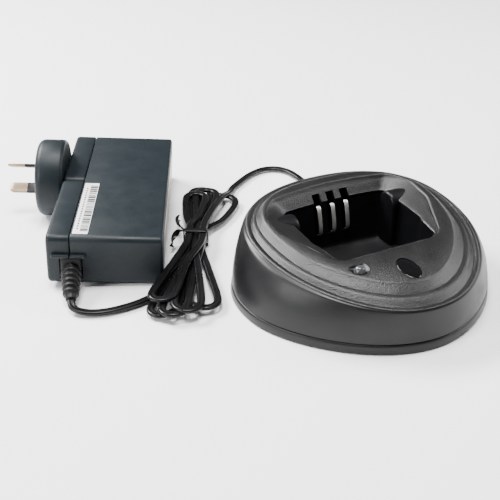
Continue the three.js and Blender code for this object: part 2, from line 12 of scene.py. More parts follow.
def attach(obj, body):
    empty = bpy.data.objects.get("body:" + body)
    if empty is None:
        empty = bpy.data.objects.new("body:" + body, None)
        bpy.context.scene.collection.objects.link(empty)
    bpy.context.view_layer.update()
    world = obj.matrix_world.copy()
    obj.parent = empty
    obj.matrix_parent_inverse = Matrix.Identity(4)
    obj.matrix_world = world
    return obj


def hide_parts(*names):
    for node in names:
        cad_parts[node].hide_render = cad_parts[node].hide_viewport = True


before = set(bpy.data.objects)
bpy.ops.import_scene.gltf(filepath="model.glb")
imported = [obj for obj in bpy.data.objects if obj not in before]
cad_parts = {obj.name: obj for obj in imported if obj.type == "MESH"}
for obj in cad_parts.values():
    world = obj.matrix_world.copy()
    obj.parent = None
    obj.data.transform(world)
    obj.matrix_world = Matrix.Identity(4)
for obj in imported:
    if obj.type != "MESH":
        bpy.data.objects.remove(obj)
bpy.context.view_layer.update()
MM = 0.001

# ---------------------------------------------------------------- camera, floor and lights

CAMERA_PLACE = Vector((-0.2242, -0.3122, 0.240))
CAMERA_AIM = Vector((-0.0348, 0.0578, 0.0))
CAMERA_LENS = 64.8


def make_camera():
    data = bpy.data.cameras.new("photo_camera")
    data.lens = CAMERA_LENS
    data.sensor_width = 36.0
    data.clip_start = 0.01
    camera = bpy.data.objects.new("photo_camera", data)
    bpy.context.collection.objects.link(camera)
    camera.location = CAMERA_PLACE
    camera.rotation_euler = (CAMERA_AIM - CAMERA_PLACE).to_track_quat("-Z", "Y").to_euler()
    bpy.context.scene.camera = camera


def area_light(name, place, aim, size, power):
    data = bpy.data.lights.new(name, "AREA")
    data.shape = "RECTANGLE"
    data.size, data.size_y = size
    data.energy = power
    light = bpy.data.objects.new(name, data)
    bpy.context.collection.objects.link(light)
    light.location = place
    light.rotation_euler = (Vector(aim) - Vector(place)).to_track_quat("-Z", "Y").to_euler()


def make_stage():
    half = 3.0
    mesh = bpy.data.meshes.new("floor")
    corners = [(-half, -half, 0), (half, -half, 0), (half, half, 0), (-half, half, 0)]
    mesh.from_pydata(corners, [], [(0, 1, 2, 3)])
    floor = bpy.data.objects.new("floor", mesh)
    bpy.context.collection.objects.link(floor)
    material = bpy.data.materials.new("pale_floor")
    material.use_nodes = True
    shader = material.node_tree.nodes["Principled BSDF"]
    shader.inputs["Base Color"].default_value = (0.95, 0.95, 0.95, 1)
    shader.inputs["Roughness"].default_value = 0.8
    mesh.materials.append(material)
    world = bpy.data.worlds.new("studio")
    world.use_nodes = True
    world.node_tree.nodes["Background"].inputs["Color"].default_value = (1, 1, 1, 1)
    world.node_tree.nodes["Background"].inputs["Strength"].default_value = 0.16
    bpy.context.scene.world = world
    area_light("back_left_softbox", (-0.45, 0.75, 0.75), (0, 0, 0.02), (0.6, 0.3), 34)
    area_light("left_softbox", (-0.85, -0.1, 0.4), (0, 0, 0.02), (0.3, 0.4), 6)
    area_light("right_softbox", (0.75, -0.1, 0.5), (0, 0, 0.02), (0.3, 0.4), 6)
    area_light("top_softbox", (-0.1, 0.05, 1.1), (-0.05, 0, 0.0), (0.4, 0.4), 22)


# ---------------------------------------------------------------- materials

def shader_of(name, colour, roughness, metallic=0.0, coat=0.0, specular=0.5):
    material = bpy.data.materials.new(name)
    material.use_nodes = True
    shader = material.node_tree.nodes["Principled BSDF"]
    shader.inputs["Base Color"].default_value = (*colour, 1)
    shader.inputs["Roughness"].default_value = roughness
    shader.inputs["Metallic"].default_value = metallic
    shader.inputs["Coat Weight"].default_value = coat
    shader.inputs["Specular IOR Level"].default_value = specular
    return material, shader


def texture(material, kind, scale, detail=2.0, stretch=(1, 1, 1)):
    nodes, links = material.node_tree.nodes, material.node_tree.links
    place = nodes.new("ShaderNodeTexCoord")
    mapping = nodes.new("ShaderNodeMapping")
    mapping.inputs["Scale"].default_value = stretch
    links.new(place.outputs["Object"], mapping.inputs["Vector"])
    node = nodes.new(kind)
    node.inputs["Scale"].default_value = scale
    if "Detail" in node.inputs:
        node.inputs["Detail"].default_value = detail
    links.new(mapping.outputs["Vector"], node.inputs["Vector"])
    return node


def spread(material, source, low, high):
    """A number that follows a texture, between two values."""
    node = material.node_tree.nodes.new("ShaderNodeMapRange")
    node.inputs["From Min"].default_value = 0.3
    node.inputs["From Max"].default_value = 0.7
    node.inputs["To Min"].default_value = low
    node.inputs["To Max"].default_value = high
    material.node_tree.links.new(source, node.inputs["Value"])
    return node.outputs["Result"]


def bump(material, shader, source, strength, depth):
    """Relief that follows a texture. The depth is in metres."""
    node = material.node_tree.nodes.new("ShaderNodeBump")
    node.inputs["Strength"].default_value = strength
    node.inputs["Distance"].default_value = depth
    material.node_tree.links.new(source, node.inputs["Height"])
    material.node_tree.links.new(node.outputs["Normal"], shader.inputs["Normal"])


def tint(material, shader, source, dark, light):
    """A colour that follows a texture, between two colours."""
    node = material.node_tree.nodes.new("ShaderNodeMix")
    node.data_type = "RGBA"
    node.inputs["A"].default_value = (*dark, 1)
    node.inputs["B"].default_value = (*light, 1)
    material.node_tree.links.new(spread(material, source, 0, 1), node.inputs["Factor"])
    material.node_tree.links.new(node.outputs["Result"], shader.inputs["Base Color"])


def moulded(name, dark, light, roughness, grain_size, grain_depth, strength, coat=0.0,
            specular=0.22):
    """Moulded plastic: eroded grain of a given size, worn and handled patches in the gloss."""
    material, shader = shader_of(name, dark, roughness, coat=coat, specular=specular)
    grain = texture(material, "ShaderNodeTexNoise", 1 / grain_size, 3)
    wear = texture(material, "ShaderNodeTexNoise", 90, 4)
    tint(material, shader, grain.outputs["Fac"], dark, light)
    rough = spread(material, wear.outputs["Fac"], roughness - 0.05, roughness + 0.06)
    material.node_tree.links.new(rough, shader.inputs["Roughness"])
    bump(material, shader, grain.outputs["Fac"], strength, grain_depth)
    return material


def make_materials():
    kit = {}
    kit["shell_grain"] = moulded(
        "shell_grain", (0.0015, 0.0015, 0.0017), (0.008, 0.008, 0.0085),
        0.34, 0.6 * MM, 0.26 * MM, 1.0, specular=0.5)
    kit["shell_satin"] = moulded(
        "shell_satin", (0.0035, 0.0036, 0.004), (0.006, 0.0061, 0.0066),
        0.38, 0.35 * MM, 0.03 * MM, 0.35, specular=0.3)
    kit["pocket"] = moulded(
        "pocket_plastic", (0.0016, 0.0017, 0.0022), (0.0035, 0.0036, 0.0044),
        0.36, 0.5 * MM, 0.02 * MM, 0.3)
    kit["supply"] = moulded(
        "supply_plastic", (0.0035, 0.0062, 0.0083), (0.008, 0.0125, 0.0156),
        0.45, 0.45 * MM, 0.05 * MM, 0.5)
    kit["jacket"] = moulded(
        "cord_jacket", (0.002, 0.002, 0.0022), (0.0045, 0.0045, 0.005),
        0.30, 1.2 * MM, 0.05 * MM, 0.25)
    kit["boot"] = moulded(
        "relief_rubber", (0.002, 0.002, 0.0022), (0.005, 0.005, 0.0053),
        0.45, 0.5 * MM, 0.04 * MM, 0.4)
    kit["badge"] = moulded(
        "badge_gloss", (0.0015, 0.0015, 0.0018), (0.003, 0.003, 0.0034),
        0.14, 1.5 * MM, 0.01 * MM, 0.2, 0.3)
    kit["tie"] = moulded(
        "tie_film", (0.002, 0.002, 0.0023), (0.005, 0.005, 0.0055),
        0.32, 0.7 * MM, 0.03 * MM, 0.4)
    kit["foot"] = moulded(
        "foot_rubber", (0.012, 0.012, 0.012), (0.022, 0.022, 0.022),
        0.7, 0.5 * MM, 0.06 * MM, 0.6)
    kit["sleeve"] = moulded(
        "pin_sleeve", (0.006, 0.006, 0.0065), (0.011, 0.011, 0.012),
        0.45, 0.5 * MM, 0.02 * MM, 0.3)
    kit["black_part"] = moulded(
        "component_black", (0.002, 0.002, 0.0022), (0.005, 0.005, 0.0055),
        0.5, 0.4 * MM, 0.03 * MM, 0.4)
    kit["cap_sleeve"] = moulded(
        "capacitor_sleeve", (0.012, 0.016, 0.05), (0.018, 0.024, 0.075),
        0.3, 2 * MM, 0.02 * MM, 0.2, 0.3)
    kit["nickel"] = metal("contact_nickel", (0.93, 0.92, 0.89), 0.42, (1, 1, 0.15))
    kit["pin"] = metal("pin_metal", (0.27, 0.205, 0.14), 0.38, (0.2, 1, 1))
    kit["zinc"] = metal("zinc_steel", (0.55, 0.56, 0.58), 0.35, (1, 1, 1))
    kit["sheet"] = metal("heat_sink", (0.62, 0.63, 0.65), 0.38, (1, 0.2, 1))
    kit["copper"] = metal("copper_winding", (0.62, 0.27, 0.12), 0.35, (1, 1, 8))
    kit["laminate"] = laminate()
    kit["lens"] = clear_lens()
    kit["barcode"] = barcode()
    kit["rating"] = rating_film()
    return kit


def metal(name, colour, roughness, stretch):
    """Rolled or drawn metal with fine lines along one direction and dull patches."""
    material, shader = shader_of(name, colour, roughness, metallic=1.0)
    lines = texture(material, "ShaderNodeTexNoise", 2200, 2, stretch)
    patches = texture(material, "ShaderNodeTexNoise", 260, 3)
    tint(material, shader, patches.outputs["Fac"], tuple(0.86 * c for c in colour), colour)
    rough = spread(material, lines.outputs["Fac"], roughness - 0.06, roughness + 0.08)
    material.node_tree.links.new(rough, shader.inputs["Roughness"])
    bump(material, shader, lines.outputs["Fac"], 0.25, 0.02 * MM)
    return material


def laminate():
    material, shader = shader_of("board_laminate", (0.02, 0.13, 0.05), 0.35, coat=0.4)
    weave = texture(material, "ShaderNodeTexVoronoi", 900)
    tint(material, shader, weave.outputs["Distance"], (0.012, 0.09, 0.035), (0.03, 0.18, 0.07))
    bump(material, shader, weave.outputs["Distance"], 0.3, 0.03 * MM)
    return material


def clear_lens():
    material, shader = shader_of("clear_lens", (0.45, 0.47, 0.49), 0.05)
    shader.inputs["Transmission Weight"].default_value = 0.9
    shader.inputs["IOR"].default_value = 1.49
    haze = texture(material, "ShaderNodeTexNoise", 700, 3)
    rough = spread(material, haze.outputs["Fac"], 0.03, 0.12)
    material.node_tree.links.new(rough, shader.inputs["Roughness"])
    return material


def printed(name, paper):
    material, shader = shader_of(name, paper, 0.45, coat=0.2)
    fibre = texture(material, "ShaderNodeTexNoise", 1500, 3)
    bump(material, shader, fibre.outputs["Fac"], 0.2, 0.02 * MM)
    return material, shader


def barcode():
    """White film. The bars on it are separate pieces of ink."""
    material, shader = printed("barcode_film", (0.80, 0.80, 0.79))
    shade = texture(material, "ShaderNodeTexNoise", 120, 3)
    tint(material, shader, shade.outputs["Fac"], (0.74, 0.74, 0.73), (0.84, 0.84, 0.83))
    return material


def rating_film():
    """Pale metallised film, faintly streaked."""
    material, shader = printed("rating_film", (0.55, 0.53, 0.47))
    shader.inputs["Metallic"].default_value = 0.35
    streaks = texture(material, "ShaderNodeTexNoise", 300, 3, (1, 0.1, 1))
    tint(material, shader, streaks.outputs["Fac"], (0.42, 0.40, 0.34), (0.66, 0.64, 0.58))
    return material


# ---------------------------------------------------------------- mesh helpers

def finish_mesh(piece, sharp=35):
    """Smooth shading, except across edges sharper than the given degrees."""
    piece.data.shade_smooth()
    piece.data.set_sharp_from_angle(angle=math.radians(sharp))


def make_piece(name, points, faces, materials, body, nodes, sharp=35, face_slots=None):
    """A new piece from points in millimetres, which stands for the CAD nodes it names.

    A cutting tool has no body: it is only a mesh until the cut removes it.
    """
    mesh = bpy.data.meshes.new(name)
    mesh.from_pydata([tuple(c * MM for c in p) for p in points], [], faces)
    for material in materials:
        mesh.materials.append(material)
    if face_slots is not None:
        mesh.polygons.foreach_set("material_index", face_slots)
    builder = bmesh.new()
    builder.from_mesh(mesh)
    bmesh.ops.recalc_face_normals(builder, faces=builder.faces)
    builder.to_mesh(mesh)
    builder.free()
    piece = bpy.data.objects.new(name, mesh)
    bpy.context.collection.objects.link(piece)
    finish_mesh(piece, sharp)
    if body is not None:
        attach(piece, body)
        if nodes:
            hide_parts(*nodes)
    return piece


def loft(rings, closed=False):
    """Points and faces that join rings of the same number of points, and the band of each face.

    A closed loft joins the last ring to the first. An open one has a flat cap at each end.
    """
    count = len(rings[0])
    points = [tuple(p) for ring in rings for p in ring]
    faces = []
    bands = []
    band_count = len(rings) if closed else len(rings) - 1
    for k in range(band_count):
        a, b = k * count, ((k + 1) % len(rings)) * count
        for i in range(count):
            j = (i + 1) % count
            faces.append((a + i, a + j, b + j, b + i))
            bands.append(k)
    if not closed:
        faces.append(tuple(range(count)))
        bands.append(0)
        last = (len(rings) - 1) * count
        faces.append(tuple(last + i for i in reversed(range(count))))
        bands.append(band_count - 1)
    return points, faces, bands


def apply_modifiers(piece):
    depsgraph = bpy.context.evaluated_depsgraph_get()
    mesh = bpy.data.meshes.new_from_object(piece.evaluated_get(depsgraph))
    piece.modifiers.clear()
    piece.data = mesh


def subdivide(piece):
    modifier = piece.modifiers.new("subdivision", "SUBSURF")
    modifier.levels = modifier.render_levels = 1
    apply_modifiers(piece)


def cut(piece, tools):
    """Cuts each tool out of the piece, in turn, and removes the tool."""
    for tool in tools:
        modifier = piece.modifiers.new("cut", "BOOLEAN")
        modifier.operation = "DIFFERENCE"
        modifier.solver = "EXACT"
        modifier.object = tool
        apply_modifiers(piece)
        bpy.data.objects.remove(tool)


def tool_piece(name, rings):
    points, faces, _ = loft(rings)
    return make_piece(name, points, faces, [], None, None)


def rounded_rectangle(x0, y0, x1, y1, radius, steps=6):
    """An outline that starts at its lower right corner and runs anticlockwise."""
    outline = []
    for cx, cy, start in ((x1 - radius, y0 + radius, -90), (x1 - radius, y1 - radius, 0),
                          (x0 + radius, y1 - radius, 90), (x0 + radius, y0 + radius, 180)):
        for k in range(steps + 1):
            angle = math.radians(start + 90 * k / steps)
            outline.append((cx + radius * math.cos(angle), cy + radius * math.sin(angle)))
    return outline


def box_rings(x0, y0, z0, x1, y1, z1, radius=0.4, edge=0.3):
    """Rings, from the bottom up, of a block with rounded corners and softened edges."""
    rings = []
    for inset, z in ((edge, z0), (0.3 * edge, z0 + 0.3 * edge), (0, z0 + edge),
                     (0, z1 - edge), (0.3 * edge, z1 - 0.3 * edge), (edge, z1)):
        outline = rounded_rectangle(x0 + inset, y0 + inset, x1 - inset, y1 - inset, radius)
        rings.append([(x, y, z) for x, y in outline])
    return rings


def disc_rings(profile, count=32, centre=(0, 0)):
    """Rings round an upright axis, from a list of (radius, height)."""
    rings = []
    for radius, z in profile:
        rings.append([(centre[0] + radius * math.cos(2 * math.pi * i / count),
                       centre[1] + radius * math.sin(2 * math.pi * i / count), z)
                      for i in range(count)])
    return rings


def turned(rings, matrix):
    return [[tuple(matrix @ Vector(p)) for p in ring] for ring in rings]


# ---------------------------------------------------------------- cradle outlines, in millimetres

AROUND = 180
RAY_START = 10
EGG_MIDDLE = -6
BASE_EGG = (65, 53.3, 65, 0.19, 1.95, 2)
SEAM_HEIGHT = 5.1
TOP_HEIGHT = 29.7
TOP_SLOPE = 0.14
COLLAR_RISE = 4.2
THROAT_HEIGHT = 31.2
THROAT_SLOPE = 0.045
POCKET_FLOOR = 6.5
RIB_Y = 24.5
RIB_HALF = 6.5
RIB_TOP = 35
# The x of each spring, the (x, y) of the LED and the badge, and the middle of the DC jack.
CONTACTS = {"left": -8.1, "middle": 0.0, "right": 8.1}
CONTACT_SLOT_HALF = 2.25
LED = (-22.6, -26.9)
LENS_RADIUS = 2.9
BADGE = (-1.0, -34.4)
BADGE_SIZE = (4.6, 7.4)
BADGE_SEAT = (4.9, 7.7)
JACK = (30.0, 49.0, 12.0)
FOOT_SPOTS = ((-33, -37), (33, -37), (-38, 44), (38, 44))
SCREW_SPOTS = ((-41, -26), (41, -26), (-48, 20), (48, 20))


def egg(half, front, rear, widen, full_front, full_rear):
    """An egg-shaped outline, wider to the rear. A fullness of 2 is a true ellipse."""
    outline = []
    for i in range(360):
        angle = 2 * math.pi * i / 360
        power = 2 / (full_rear if math.sin(angle) > 0 else full_front)
        across = math.copysign(abs(math.cos(angle)) ** power, math.cos(angle))
        along = math.copysign(abs(math.sin(angle)) ** power, math.sin(angle))
        reach = rear if along > 0 else front
        outline.append((half * across * (1 + widen * along), EGG_MIDDLE + reach * along))
    return outline


def trace(start, *moves):
    """An outline of lines (x, y) and quadratic curves (control x, control y, x, y)."""
    outline = [start]
    for move in moves:
        x0, y0 = outline[-1]
        if len(move) == 2:
            outline.append(move)
            continue
        cx, cy, x1, y1 = move
        for k in range(1, 9):
            t = k / 8
            a, b, c = (1 - t) ** 2, 2 * t * (1 - t), t * t
            outline.append((a * x0 + b * cx + c * x1, a * y0 + b * cy + c * y1))
    return outline


def pocket(front_half, half, front, widest, rear, bow, r):
    """The pocket's outline: straight front, sides that open to the back, bowed rear."""
    return trace(
        (-front_half + r, front), (front_half - r, front),
        (front_half, front, front_half + 0.45 * r, front + 0.8 * r),
        (half - 0.3 * r, widest - r), (half, widest - 0.4 * r, half, widest),
        (half, rear - bow - r), (half, rear - 0.8 * bow, half - 1.2 * r, rear - 0.55 * bow),
        (0, rear + 0.55 * bow, -half + 1.2 * r, rear - 0.55 * bow),
        (-half, rear - 0.8 * bow, -half, rear - bow - r),
        (-half, widest), (-half, widest - 0.4 * r, -half + 0.3 * r, widest - r),
        (-front_half - 0.45 * r, front + 0.8 * r), (-front_half, front, -front_half + r, front))


def ring(outline, height):
    """Meets an outline with evenly spaced rays, so that rings of different shape line up."""
    start = np.array(outline)
    edge = np.roll(start, -1, axis=0) - start
    points = []
    for i in range(AROUND):
        angle = 2 * math.pi * i / AROUND
        ray = np.array((math.cos(angle), math.sin(angle)))
        to_start = start - np.array((0, RAY_START))
        across = ray[0] * edge[:, 1] - ray[1] * edge[:, 0]
        across[np.abs(across) < 1e-9] = 1e-9
        along = (to_start[:, 0] * edge[:, 1] - to_start[:, 1] * edge[:, 0]) / across
        share = (to_start[:, 0] * ray[1] - to_start[:, 1] * ray[0]) / across
        meets = (share >= -1e-6) & (share <= 1 + 1e-6) & (along > 0)
        reach = along[meets].max()
        x, y = ray[0] * reach, RAY_START + ray[1] * reach
        points.append((x, y, height(y) if callable(height) else height))
    return np.array(points)


def top_plane(offset):
    """The height at any y of a plane along the sloping top, raised by an offset."""
    return lambda y: TOP_HEIGHT + TOP_SLOPE * y + offset


def between(lower, upper, across, up):
    """A ring part of the way from one to another, by one share in plan and one in height."""
    middle = lower + (upper - lower) * across
    middle[:, 2] = lower[:, 2] + (upper[:, 2] - lower[:, 2]) * up
    return middle


def inset(points, amount, drop=0.0):
    """A ring moved inwards, square to its outline, and lowered."""
    way = np.roll(points, -1, axis=0)[:, :2] - np.roll(points, 1, axis=0)[:, :2]
    way /= np.linalg.norm(way, axis=1)[:, None]
    moved = points.copy()
    moved[:, 0] -= way[:, 1] * amount
    moved[:, 1] += way[:, 0] * amount
    moved[:, 2] -= drop
    return moved


def keep_inside(points, limit, by):
    """The points pulled in, where they have to be, to stay inside another ring by a distance."""
    reach = np.hypot(points[:, 0], points[:, 1] - RAY_START)
    most = np.hypot(limit[:, 0], limit[:, 1] - RAY_START) - by
    share = np.minimum(1, most / reach)
    moved = points.copy()
    moved[:, 0] *= share
    moved[:, 1] = RAY_START + (points[:, 1] - RAY_START) * share
    return moved


def smooth_through(rings, steps):
    """Extra rings on smooth curves through the given ones."""
    full = [2 * rings[0] - rings[1], *rings, 2 * rings[-1] - rings[-2]]
    result = []
    for k in range(1, len(full) - 2):
        a, b, c, d = full[k - 1:k + 3]
        for s in range(steps):
            t = s / steps
            result.append(0.5 * (2 * b + (c - a) * t + (2 * a - 5 * b + 4 * c - d) * t * t
                                 + (3 * b - a - 3 * c + d) * t ** 3))
    return [*result, rings[-1]]


SEAM = inset(ring(egg(*BASE_EGG), SEAM_HEIGHT + 0.5), 0.7)
SHOULDER = ring(egg(53.9, 51.2, 60.4, 0.245, 2.2, 2.2), top_plane(0))
COLLAR_FOOT = ring(egg(46.5, 42.1, 54, 0.235, 2.1, 2.6), top_plane(1.3))
COLLAR_TOP = ring(egg(42.8, 38, 52, 0.3, 2.1, 2.6), top_plane(COLLAR_RISE - 0.3))
PLATEAU = ring(egg(41.9, 36.8, 51.2, 0.3, 2.1, 2.6), top_plane(COLLAR_RISE))
MOUTH = keep_inside(ring(pocket(28, 42.4, -19, 14, 40.6, 6, 8), top_plane(COLLAR_RISE - 0.4)),
                    PLATEAU, 1.5)
THROAT_OUTLINE = pocket(26, 30.5, -17.7, 2, 34.5, 2.5, 4)
THROAT = ring(THROAT_OUTLINE, lambda y: THROAT_HEIGHT + THROAT_SLOPE * y)


# ---------------------------------------------------------------- cradle

def block_tool(x0, y0, z0, x1, y1, z1, radius=0.3):
    return tool_piece("slot_tool", box_rings(x0, y0, z0, x1, y1, z1, radius, 0.05))


def contact_slots():
    """A tool for each spring's slot, from inside the pocket through its rear wall."""
    return [block_tool(x - CONTACT_SLOT_HALF, 25.5, 14.5, x + CONTACT_SLOT_HALF, 39.1, 36.1, 0.5)
            for x in CONTACTS.values()]


def seated_oval(half, long, profile, count=72):
    """Rings of an oval on the sloping plateau, from a list of (inset, height above it)."""
    place = Matrix.Translation((*BADGE, top_plane(COLLAR_RISE)(BADGE[1])))
    place = place @ Matrix.Rotation(math.atan(TOP_SLOPE), 4, "X")
    rings = []
    for step, z in profile:
        rings.append([((half - step) * math.cos(2 * math.pi * i / count),
                       (long - step) * math.sin(2 * math.pi * i / count), z)
                      for i in range(count)])
    return turned(rings, place)


def make_top_shell(kit):
    """The side wall, shoulder and sloping top, open in the middle, with a ledge for the collar."""
    wall = smooth_through([
        SEAM, between(SEAM, SHOULDER, 0.1, 0.28), between(SEAM, SHOULDER, 0.34, 0.6),
        between(SEAM, SHOULDER, 0.74, 0.9), inset(SHOULDER, 0, 0.7)], 4)
    edge = smooth_through([
        inset(SHOULDER, 0, 0.7), inset(SHOULDER, 0.45, 0.18), inset(SHOULDER, 1.5, 0),
        inset(SHOULDER, 3, 0.4), between(SHOULDER, COLLAR_FOOT, 0.7, 0.8),
        inset(COLLAR_FOOT, -0.05)], 3)
    under = [
        inset(COLLAR_FOOT, -0.05, 2.2), inset(COLLAR_FOOT, 2.4, 2.2), inset(COLLAR_FOOT, 2.4, 4.0),
        inset(SHOULDER, 4.4, 3.1), inset(between(SEAM, SHOULDER, 0.74, 0.9), 2.2, 1.4),
        inset(between(SEAM, SHOULDER, 0.34, 0.6), 2.2), inset(SEAM, 2.2)]
    points, faces, bands = loft(wall + edge[1:] + under, closed=True)
    grained = range(len(wall) + 1, len(wall + edge))
    satin = [0 if band in grained else 1 for band in bands]
    shell = make_piece("cradle_top_shell", points, faces, [kit["shell_grain"], kit["shell_satin"]],
                       "root", ["top_shell"], 28, satin)
    x, y, z = JACK
    cut(shell, [block_tool(x - 6.3, y - 7, z - 5.3, x + 6.3, 75, z + 5.3)])
    finish_mesh(shell, 28)


def make_pocket_collar(kit):
    """The raised plateau with its sloping lead-in, which drops into the top shell."""
    crown = smooth_through([
        inset(COLLAR_FOOT, 0.45, -0.35), inset(COLLAR_TOP, -0.5, 0.55),
        inset(COLLAR_TOP, 0.1, 0.05), PLATEAU], 2)
    lip = smooth_through([
        inset(MOUTH, -0.8, -0.38), inset(MOUTH, -0.35, -0.3), inset(MOUTH, 0.1, 0.0),
        inset(MOUTH, 0.4, 0.4)], 2)
    lead_in = smooth_through([
        between(MOUTH, THROAT, 0.12, 0.16), between(MOUTH, THROAT, 0.5, 0.5),
        inset(THROAT, -0.5, -0.35), inset(THROAT, -0.05, 0.05)], 2)
    rings = [inset(COLLAR_FOOT, 0, 1.9), COLLAR_FOOT, *crown, *lip, *lead_in, THROAT]
    rings += [inset(THROAT, -0.4, 1.6), inset(THROAT, -2.2, 0.9), inset(MOUTH, 0, 2.6),
              inset(COLLAR_FOOT, 2.4, 1.9)]
    points, faces, _ = loft(rings, closed=True)
    collar = make_piece("pocket_collar_plateau", points, faces, [kit["shell_grain"]],
                        "root", ["pocket_collar"], 28)
    plateau = top_plane(COLLAR_RISE)(LED[1])
    led_hole = tool_piece("led_hole", disc_rings(
        [(3.1, 14), (3.1, plateau - 1.2), (5.2, plateau + 0.5)], 48, LED))
    seat = tool_piece("badge_seat", seated_oval(*BADGE_SEAT, [(0, -1.2), (0, 4)]))
    cut(collar, [led_hole, seat, *contact_slots()])
    finish_mesh(collar, 28)


def make_base_tray(kit):
    """The tray under the seam, with four recesses for the feet and four screw holes."""
    outer = ring(egg(*BASE_EGG), 1.0)
    rings = [inset(outer, 1.0, 1.0), inset(outer, 0.4, 0.8), inset(outer, 0.1, 0.4), outer,
             inset(outer, 0.3, -2.4), inset(outer, 0.45, -3.75), inset(outer, 0.8, -4.1),
             inset(outer, 2.7, -4.1), inset(outer, 2.7, -1.2)]
    points, faces, _ = loft(rings)
    tray = make_piece("cradle_base_tray", points, faces, [kit["shell_satin"]],
                      "root", ["base_tray"], 50)
    tools = [tool_piece("foot_seat", disc_rings([(5.3, -1), (5.3, 1.1)], 40, spot))
             for spot in FOOT_SPOTS]
    for spot in SCREW_SPOTS:
        tools.append(tool_piece("screw_seat", disc_rings([(3.2, -1), (3.2, 1.2)], 32, spot)))
        tools.append(tool_piece("screw_hole", disc_rings([(1.8, -1), (1.8, 3)], 24, spot)))
    cut(tray, tools)
    finish_mesh(tray, 50)


def make_pocket_cup(kit):
    """The pocket's inner wall and floor, and an arched guide rib on each side."""
    top = inset(THROAT, 0, 1.9)
    foot = ring(THROAT_OUTLINE, POCKET_FLOOR)
    foot[:, 0] *= 0.985
    foot[:, 1] = foot[:, 1] * 0.97 - 0.1 * (THROAT_HEIGHT - POCKET_FLOOR)
    rim = inset(top, -0.2)
    rings = [inset(foot, -1.8, 1.8), inset(top, -1.8, 0.4), rim,
             between(foot, rim, 0.5, 0.5), between(foot, rim, 0.1, 0.1),
             inset(between(foot, rim, 0.03, 0.03), 0.3), inset(foot, 1.2)]
    points, faces, _ = loft(rings)
    cup = make_piece("pocket_cup_wall", points, faces, [kit["pocket"]],
                     "root", ["pocket_cup"], 40)
    cut(cup, contact_slots())
    finish_mesh(cup, 40)
    for word, side in (("left", -1), ("right", 1)):
        rings = []
        for x, shrink in ((27.0, 1.3), (27.15, 0.8), (27.5, 0.35), (28.1, 0.08), (28.8, 0), (38, 0)):
            rib = arch(RIB_HALF - shrink, RIB_TOP - shrink)
            rings.append([(side * x, y, z) for y, z in rib])
        points, faces, _ = loft(rings)
        make_piece(f"guide_rib_{word}", points, faces, [kit["pocket"]],
                   "root", [], 50)


def arch(half, top):
    """The outline, in y and z, of a rib with a round top that stands on the pocket's floor."""
    outline = [(RIB_Y - half, POCKET_FLOOR - 0.8), (RIB_Y + half, POCKET_FLOOR - 0.8)]
    for k in range(25):
        angle = math.pi * k / 24
        outline.append((RIB_Y + half * math.cos(angle), top - half + half * math.sin(angle)))
    return outline


def make_contacts(kit):
    """Leaf springs: a slanted leaf that turns back into the wall at both ends."""
    line = [(32.0, 15.4), (30.7, 15.8), (29.9, 17.0), (30.2, 19.5), (31.0, 23.5), (31.9, 27.2),
            (32.6, 29.3), (33.3, 30.3), (34.3, 30.7)]
    for word, middle in CONTACTS.items():
        rings = []
        for k, (y, z) in enumerate(line):
            before, after = line[max(k - 1, 0)], line[min(k + 1, len(line) - 1)]
            way = Vector((after[0] - before[0], after[1] - before[1])).normalized()
            out = Vector((way.y, -way.x)) * 0.28
            rings.append([(middle + across, y + share * out.x + 0.3, z + share * out.y)
                          for across, share in ((-1.1, 0.5), (-0.9, 1), (0.9, 1), (1.1, 0.5),
                                                (1.1, -0.5), (0.9, -1), (-0.9, -1), (-1.1, -0.5))])
        points, faces, _ = loft(rings)
        leaf = make_piece(f"contact_leaf_{word}", points, faces, [kit["nickel"]],
                          f"contact_{word}", [f"contact_spring_{word}"], 60)
        subdivide(leaf)
        finish_mesh(leaf, 60)


def make_lens(kit):
    """A clear pin with a domed head that stands up through the collar, over the LED."""
    z = top_plane(COLLAR_RISE)(LED[1]) - 1.0
    profile = [(LENS_RADIUS, 15), (LENS_RADIUS, z)]
    for degrees in range(8, 88, 8):
        angle = math.radians(degrees)
        profile.append((LENS_RADIUS * math.cos(angle), z + LENS_RADIUS * math.sin(angle)))
    profile.append((0.15, z + LENS_RADIUS))
    points, faces, _ = loft(disc_rings(profile, 48, LED))
    make_piece("led_lens", points, faces, [kit["lens"]], "root", ["status_lens"], 50)


def make_badge(kit):
    """A blank oval, slightly domed, in its seat on the collar."""
    profile = [(0, -0.9), (0, -0.35), (0.12, -0.2), (0.35, -0.12), (1.2, 0.0), (2.4, 0.1),
               (3.8, 0.14)]
    points, faces, _ = loft(seated_oval(*BADGE_SIZE, profile))
    make_piece("blank_badge", points, faces, [kit["badge"]], "root", ["badge"], 60)


# ---------------------------------------------------------------- power supply

# Lying on its side: X runs from the pins to the flat back, Y along the case, Z is up.
SUPPLY = (Matrix.Translation((-89.7, 45.8, 0)) @ Matrix.Rotation(math.radians(-24.9), 4, "Z")
          @ Matrix.Rotation(math.radians(2.72), 4, "Y"))
SUPPLY_SEAM = -45.3
SUPPLY_FRONT = -57.0
SUPPLY_HEIGHT = 26.5
SUPPLY_LENGTH = 126.0
HEAD_START = 65.0
# The round base of the pins: its y, its z and its radius.
DISC = (82.5, 18.6, 21.4)
DISC_FACE = 72.5
PIN_REACH = 17.1
PIN_HALF_WIDTH = 3.175
PIN_HALF_THICKNESS = 0.8
PIN_SPREAD = 6.86
PIN_TILT = 30


def case_rings(y0, y1, ends):
    """Rings of a rounded case across X, from a list of (x, inset)."""
    rings = []
    for x, step in ends:
        outline = rounded_rectangle(y0 + step, step, y1 - step, SUPPLY_HEIGHT - step,
                                    max(3.2 - 0.5 * step, 0.6), 10)
        rings.append([(x, y, z) for y, z in outline])
    return rings


